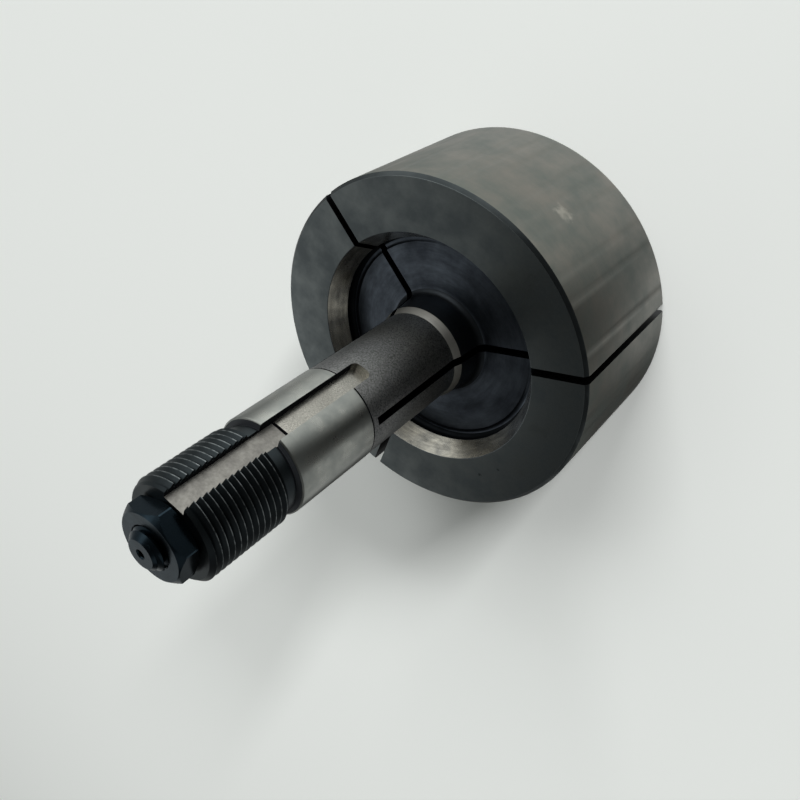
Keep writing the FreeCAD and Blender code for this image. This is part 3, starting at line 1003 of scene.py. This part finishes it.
@dataclass
class Studio:
    """Pale floor, soft light and the camera, in metres."""

    eye: tuple[float, float, float] = (-0.06326, -0.14416, 0.20283)
    aim: tuple[float, float, float] = (-0.006245, 0.002741, 0.06329)
    roll: float = -127.46
    lens: float = 36.86
    sensor: float = 36.0
    nearest: float = 0.01
    floor_colour: str = "#ebeeeb"
    floor_size: float = 6.0
    sky: float = 0.75
    sky_colour: str = "#f7faf7"
    base_level: float = 0.05
    least_level: float = 0.012
    patches: tuple[Patch, ...] = (
        # The bright side, and the two dark corners that give the shank its core.
        Patch(38, -50, 68, 24, 0.76), Patch(-28, -38, 18, 7, -0.4),
        Patch(-36, -60, 24, 9, -0.18),
        # A strip that lights the far side of the guide.
        Patch(-72, -29, 15, 4, 0.5), Patch(-97, -29, 15, 4, 0.46),
        Patch(-122, -28, 15, 4, 0.46),
        # Light for the head's outer surface, the thread and the taper.
        Patch(-90, -63, 16, 7, 0.66), Patch(66, 14, 50, 20, 0.95),
        Patch(118, -38, 34, 10, 0.12),
        # Light for the flat faces, the bevels and the nut.
        Patch(145, 32, 42, 6, 0.3), Patch(155, -34, 34, 12, 0.28),
        Patch(180, 16, 30, 6, 0.29), Patch(-12, -12, 21, 9, -0.5),
        Patch(-98, 44, 24, 8, 0.16), Patch(84, 48, 14, 5, 0.32))
    softboxes: tuple[Softbox, ...] = (
        Softbox("low_key", 14, 18, 9.0, 1.8, 1080.0),
        Softbox("high_key", 47, 34, 9.0, 4.0, 420.0))
    lamp_aim: float = 0.06
    ring: float = 0.24
    ring_rises: tuple[float, float, float, float] = (-20, -11, 6, 14)
    view_azimuth: float = -113.7

    def direction(self, turn: float, rise: float) -> Vector:
        """Unit vector at an angle from the camera's azimuth and above the floor."""
        azimuth = math.radians(self.view_azimuth + turn)
        height = math.radians(rise)
        return Vector((math.cos(azimuth) * math.cos(height),
                       math.sin(azimuth) * math.cos(height), math.sin(height)))

    def floor(self) -> None:
        """A plain pale floor that keeps the object's shadow."""
        bpy.ops.object.select_all(action="DESELECT")
        bpy.ops.mesh.primitive_plane_add(size=self.floor_size)
        floor = bpy.context.object
        floor.name = "floor"
        material = bpy.data.materials.new("pale_floor")
        material.use_nodes = True
        tree = material.node_tree
        tree.nodes.clear()
        shader = add_node(tree, "ShaderNodeBsdfDiffuse",
                          {"Color": linear(self.floor_colour)})
        add_node(tree, "ShaderNodeOutputMaterial", {"Surface": shader.outputs[0]})
        floor.data.materials.append(material)
        floor.visible_glossy = False

    def patch(self, tree: bpy.types.NodeTree, ray: bpy.types.NodeSocket,
              patch: Patch) -> bpy.types.NodeSocket:
        """Draw one patch of light.

        Args:
            tree: the world's nodes.
            ray: the direction that is looked along.
            patch: where it is and what it adds.

        Returns:
            The amount that it adds in each direction.
        """
        along = add_node(tree, "ShaderNodeVectorMath", {
            0: ray, 1: self.direction(patch.turn, patch.rise)},
            operation="DOT_PRODUCT").outputs["Value"]
        return add_node(tree, "ShaderNodeMapRange", {
            "Value": along, "From Min": math.cos(math.radians(patch.edge)),
            "From Max": math.cos(math.radians(patch.core)), "To Max": patch.amount},
            interpolation_type="SMOOTHSTEP").outputs["Result"]

    def low_ring(self, tree: bpy.types.NodeTree,
                 ray: bpy.types.NodeSocket) -> bpy.types.NodeSocket:
        """The base level, with a ring of light all round at the object's height.

        Args:
            tree: the world's nodes.
            ray: the direction that is looked along.

        Returns:
            The level in each direction.
        """
        height = add_node(tree, "ShaderNodeSeparateXYZ", {0: ray}).outputs["Z"]
        low, from_low, to_high, high = (
            math.sin(math.radians(rise)) for rise in self.ring_rises)
        rising = add_node(tree, "ShaderNodeMapRange", {
            "Value": height, "From Min": low, "From Max": from_low,
            "To Max": self.ring}, interpolation_type="SMOOTHSTEP").outputs["Result"]
        falling = add_node(tree, "ShaderNodeMapRange", {
            "Value": height, "From Min": to_high, "From Max": high, "To Min": 1.0,
            "To Max": 0.0}, interpolation_type="SMOOTHSTEP").outputs["Result"]
        return add_node(tree, "ShaderNodeMath", {
            0: rising, 1: falling, 2: self.base_level},
            operation="MULTIPLY_ADD").outputs[0]

    def world(self) -> None:
        """Soft light from all round, with a bright side and a dark corner."""
        world = bpy.data.worlds.new("studio")
        bpy.context.scene.world = world
        world.use_nodes = True
        tree = world.node_tree
        tree.nodes.clear()
        ray = add_node(tree, "ShaderNodeTexCoord").outputs["Generated"]
        level = self.low_ring(tree, ray)
        for patch in self.patches:
            level = add_node(tree, "ShaderNodeMath", {
                0: self.patch(tree, ray, patch), 1: level}, operation="ADD").outputs[0]
        level = add_node(tree, "ShaderNodeMath", {0: level, 1: self.least_level},
                         operation="MAXIMUM").outputs[0]
        seen = add_node(tree, "ShaderNodeLightPath").outputs["Is Camera Ray"]
        level = add_node(tree, "ShaderNodeMix", {
            "Factor": seen, "A": level, "B": self.sky}).outputs["Result"]
        shade = add_node(tree, "ShaderNodeBackground", {
            "Color": linear(self.sky_colour), "Strength": level})
        add_node(tree, "ShaderNodeOutputWorld", {"Surface": shade.outputs[0]})

    def lamp(self, softbox: Softbox) -> None:
        """Hang a square area lamp that faces the object."""
        lamp = bpy.data.lights.new(softbox.name, "AREA")
        lamp.size = softbox.size
        lamp.energy = softbox.power
        box = bpy.data.objects.new(softbox.name, lamp)
        towards = self.direction(softbox.turn, softbox.rise)
        box.location = Vector((0, 0, self.lamp_aim)) + towards * softbox.away
        box.rotation_mode = "QUATERNION"
        box.rotation_quaternion = (-towards).to_track_quat("-Z", "Y")
        box.visible_glossy = False
        bpy.context.scene.collection.objects.link(box)

    def camera(self) -> None:
        """The camera where the photograph was taken from."""
        data = bpy.data.cameras.new("camera")
        data.lens = self.lens
        data.sensor_width = self.sensor
        data.clip_start = self.nearest
        camera = bpy.data.objects.new("camera", data)
        camera.location = self.eye
        look = (Vector(self.aim) - Vector(self.eye)).normalized()
        camera.rotation_mode = "QUATERNION"
        camera.rotation_quaternion = look.to_track_quat("-Z", "Y") @ Quaternion(
            (0, 0, 1), math.radians(self.roll))
        bpy.context.scene.collection.objects.link(camera)
        bpy.context.scene.camera = camera

    def make(self) -> None:
        """Set up the studio."""
        self.floor()
        self.world()
        for softbox in self.softboxes:
            self.lamp(softbox)
        self.camera()
        bpy.context.scene.view_settings.view_transform = "Standard"


def main() -> None:
    """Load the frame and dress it."""
    logging.basicConfig(level=logging.INFO, format="%(message)s")
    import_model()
    Collet().make()
    DrawBolt().make()
    ThinNut().make()
    Studio().make()


if __name__ == "__main__":
    main()
